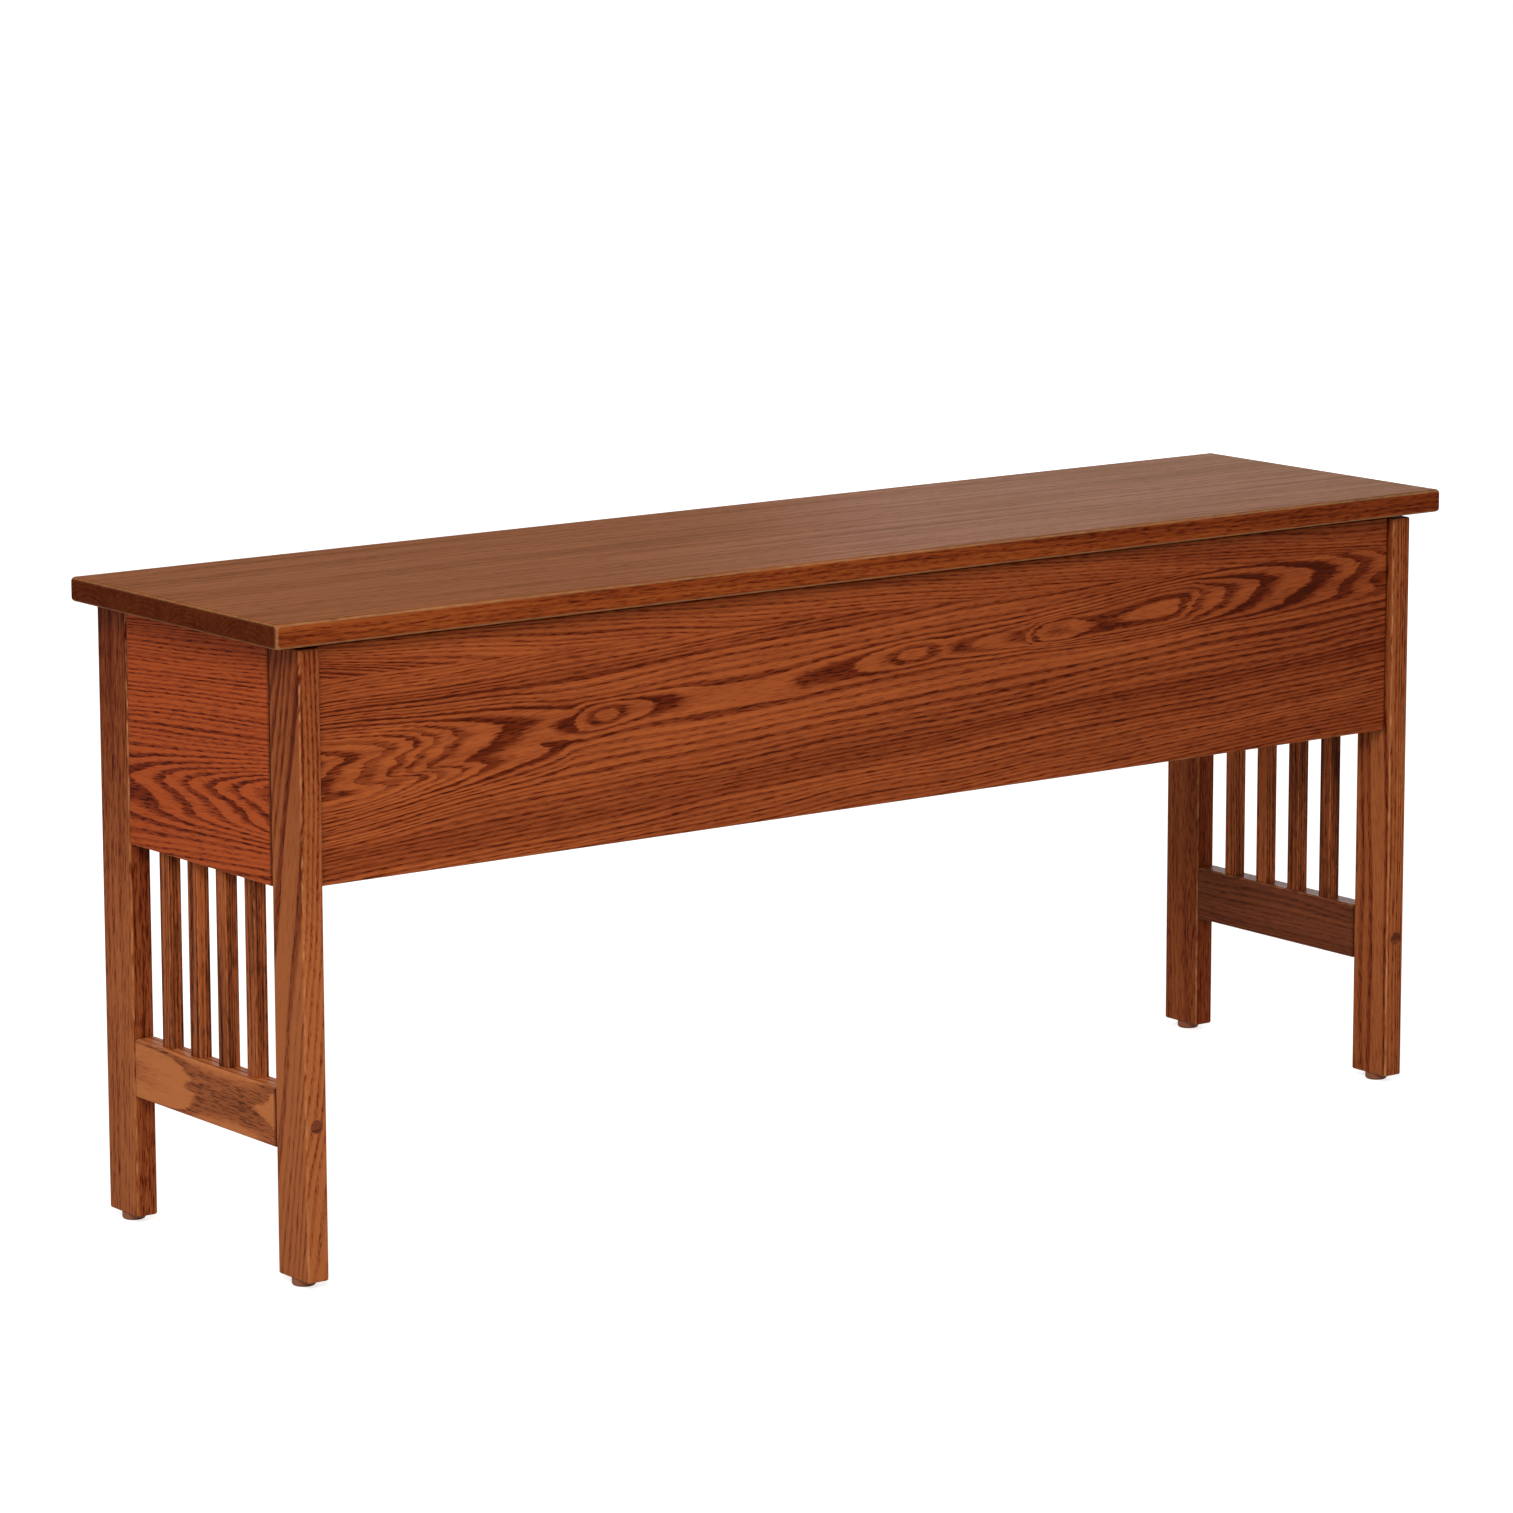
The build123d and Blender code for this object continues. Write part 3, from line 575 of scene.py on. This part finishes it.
def even_finish(name, colour_code, roughness, metallic, speckle, grain):
    """A material of one colour with a faint texture in its colour and roughness. speckle is how much
    the colour varies, and grain the texture's size in millimetres along X, Y and Z."""
    material, tree, output = new_material(name)
    coordinates = tree.nodes.new("ShaderNodeTexCoord")
    scaled = add_node(tree, "ShaderNodeMapping", {
        "Vector": coordinates.outputs["Object"], "Scale": [MILLIMETRES / size for size in grain],
    })
    texture = add_node(tree, "ShaderNodeTexNoise", {"Vector": scaled, "Scale": 1, "Detail": 3})
    tint = add_node(tree, "ShaderNodeValToRGB", {"Fac": texture})
    base = colour(colour_code)
    set_stops(tint, [
        (0.3, tuple(value * (1 - speckle) for value in base[:3]) + (1,)),
        (0.7, tuple(min(1, value * (1 + speckle)) for value in base[:3]) + (1,)),
    ])
    rough = add_node(tree, "ShaderNodeMapRange", {
        "Value": texture, "From Min": 0.3, "From Max": 0.7,
        "To Min": roughness * 0.88, "To Max": min(1, roughness * 1.12),
    })
    shader = add_node(tree, "ShaderNodeBsdfPrincipled", {
        "Base Color": tint, "Roughness": rough, "Metallic": metallic,
    })
    tree.links.new(shader.outputs[0], output.inputs["Surface"])
    return material


# Brass, rolled and satin polished: a soft yellow shine. Its scratches are drawn coarser, to show.
brass = even_finish("Satin brass", "#c8a460", 0.34, 1.0, 0.1, (0.4, 0.4, 0.4))
for place in ("left", "middle", "right"):
    finish_nodes([f"hinge_{place}_{piece}" for piece in ("frame_leaf", "lid_leaf", "pin")], brass)
finish_nodes(["hinge_frame_screws", "hinge_lid_screws"], brass)

# Steel wire, headed and zinc plated: a cool grey shine, mottled by the plating's crystals, which are
# drawn coarser, to show
steel = even_finish("Zinc-plated steel", "#a9a9a6", 0.38, 1.0, 0.12, (0.5, 0.5, 0.5))
finish_nodes(["rail_screws", "corner_block_screws", "cleat_screws", "batten_screws", "glide_nails"], steel)

# Rubber, moulded with filler: dark, and so rough that it has no highlight
rubber = even_finish("Brown rubber, moulded", "#4a3a2e", 0.75, 0.0, 0.15, (0.3, 0.3, 0.3))
finish_nodes(["lid_bumpers"], rubber)

# Polyethylene, moulded in a dull mould: a wide, waxy highlight
polyethylene = even_finish("Brown polyethylene, moulded", "#8f5232", 0.5, 0.0, 0.08, (0.5, 0.5, 0.5))
finish_nodes([f"glide_{row}_{side}" for row in ("front", "back") for side in ("left", "right")], polyethylene)

# Beech, turned to rod and left bare: pale and dull, with short fine flecks that run along the long
# panels' dowels
beech = even_finish("Beech dowel rod", "#c9a06c", 0.6, 0.0, 0.1, (9, 0.8, 0.8))
finish_nodes(["panel_dowels", "side_panel_dowels"], beech)

# Birch, peeled and pressed to plywood, sealed: pale, with wide soft bands along the sheet
plywood = even_finish("Birch plywood, clear sealed", "#c79a66", 0.5, 0.0, 0.2, (150, 9, 9))
finish_nodes(["box_floor"], plywood)

# The camera, at the photograph's viewing angle
CAMERA_PLACE = (-2.7141, -3.5798, 1.1348)
HEADING = math.radians(36.889)
TILT = math.radians(10.533)
ROLL = math.radians(-0.129)
camera_data = bpy.data.cameras.new("Camera")
camera_data.lens = 145.46
camera_data.sensor_width = 36
camera = bpy.data.objects.new("Camera", camera_data)
bpy.context.scene.collection.objects.link(camera)
forward = Vector((math.sin(HEADING) * math.cos(TILT), math.cos(HEADING) * math.cos(TILT), -math.sin(TILT)))
level = Vector((math.cos(HEADING), -math.sin(HEADING), 0))
square_up = level.cross(forward)
right = math.cos(ROLL) * level + math.sin(ROLL) * square_up
upward = math.cos(ROLL) * square_up - math.sin(ROLL) * level
turn = Matrix((right, upward, -forward)).transposed().to_4x4()
camera.matrix_world = Matrix.Translation(CAMERA_PLACE) @ turn
bpy.context.scene.camera = camera

# White paper under the bench, which keeps its soft shadow. Matt, and lit up to white for the camera.
FLOOR_HALF_WIDTH = 30
floor_mesh = bpy.data.meshes.new("Floor")
floor_shape = bmesh.new()
bmesh.ops.create_grid(floor_shape, x_segments=1, y_segments=1, size=FLOOR_HALF_WIDTH)
floor_shape.to_mesh(floor_mesh)
floor_shape.free()
floor = bpy.data.objects.new("Floor", floor_mesh)
bpy.context.scene.collection.objects.link(floor)
paper, tree, output = new_material("White paper sweep")
diffuse = add_node(tree, "ShaderNodeBsdfDiffuse", {"Color": (0.8, 0.8, 0.8, 1)})
glow = add_node(tree, "ShaderNodeEmission", {"Color": (1, 1, 1, 1), "Strength": 0.72})
both = add_node(tree, "ShaderNodeAddShader", {0: diffuse, 1: glow})
ray = tree.nodes.new("ShaderNodeLightPath")
seen = add_node(tree, "ShaderNodeMixShader", {0: ray.outputs["Is Camera Ray"], 1: diffuse, 2: both})
tree.links.new(seen.outputs[0], output.inputs["Surface"])
floor_mesh.materials.append(paper)

# Even light from all round, with white where the camera or a reflection looks
SURROUNDING_LIGHT = 0.36
world = bpy.data.worlds.new("Studio")
bpy.context.scene.world = world
world.use_nodes = True
world.node_tree.nodes.clear()
tree = world.node_tree
ray = tree.nodes.new("ShaderNodeLightPath")
looked_at = add_node(tree, "ShaderNodeMath", {
    0: ray.outputs["Is Camera Ray"], 1: ray.outputs["Is Glossy Ray"],
}, operation="MAXIMUM")
looked_at = add_node(tree, "ShaderNodeMath", {
    0: looked_at, 1: ray.outputs["Is Transmission Ray"],
}, operation="MAXIMUM")
strength = add_node(tree, "ShaderNodeMapRange", {
    "Value": looked_at, "To Min": SURROUNDING_LIGHT, "To Max": 1.0,
})
background = add_node(tree, "ShaderNodeBackground", {"Color": (1, 1, 1, 1), "Strength": strength})
add_node(tree, "ShaderNodeOutputWorld", {"Surface": background})


def soft_lamp(name, place, target, size, power):
    """A square soft lamp that points at a target."""
    lamp_data = bpy.data.lights.new(name, "AREA")
    lamp_data.size = size
    lamp_data.energy = power
    lamp = bpy.data.objects.new(name, lamp_data)
    bpy.context.scene.collection.objects.link(lamp)
    lamp.location = place
    lamp.rotation_euler = (Vector(target) - Vector(place)).to_track_quat("-Z", "Y").to_euler()


bench_middle = (0, 0, 0.3)
soft_lamp("Key lamp", (-2.2, -2.4, 2.3), (-0.4, 0, 0.3), 1.5, 76)
soft_lamp("Fill lamp", (1.8, -3.4, 1.6), bench_middle, 2.2, 9)
soft_lamp("Top lamp", (0.2, 0.6, 3.2), bench_middle, 2.0, 14)
soft_lamp("Low lamp behind", (3.2, 3.2, 1.3), (0.4, 0, 0.45), 1.2, 12)

bpy.context.scene.view_settings.view_transform = "Standard"
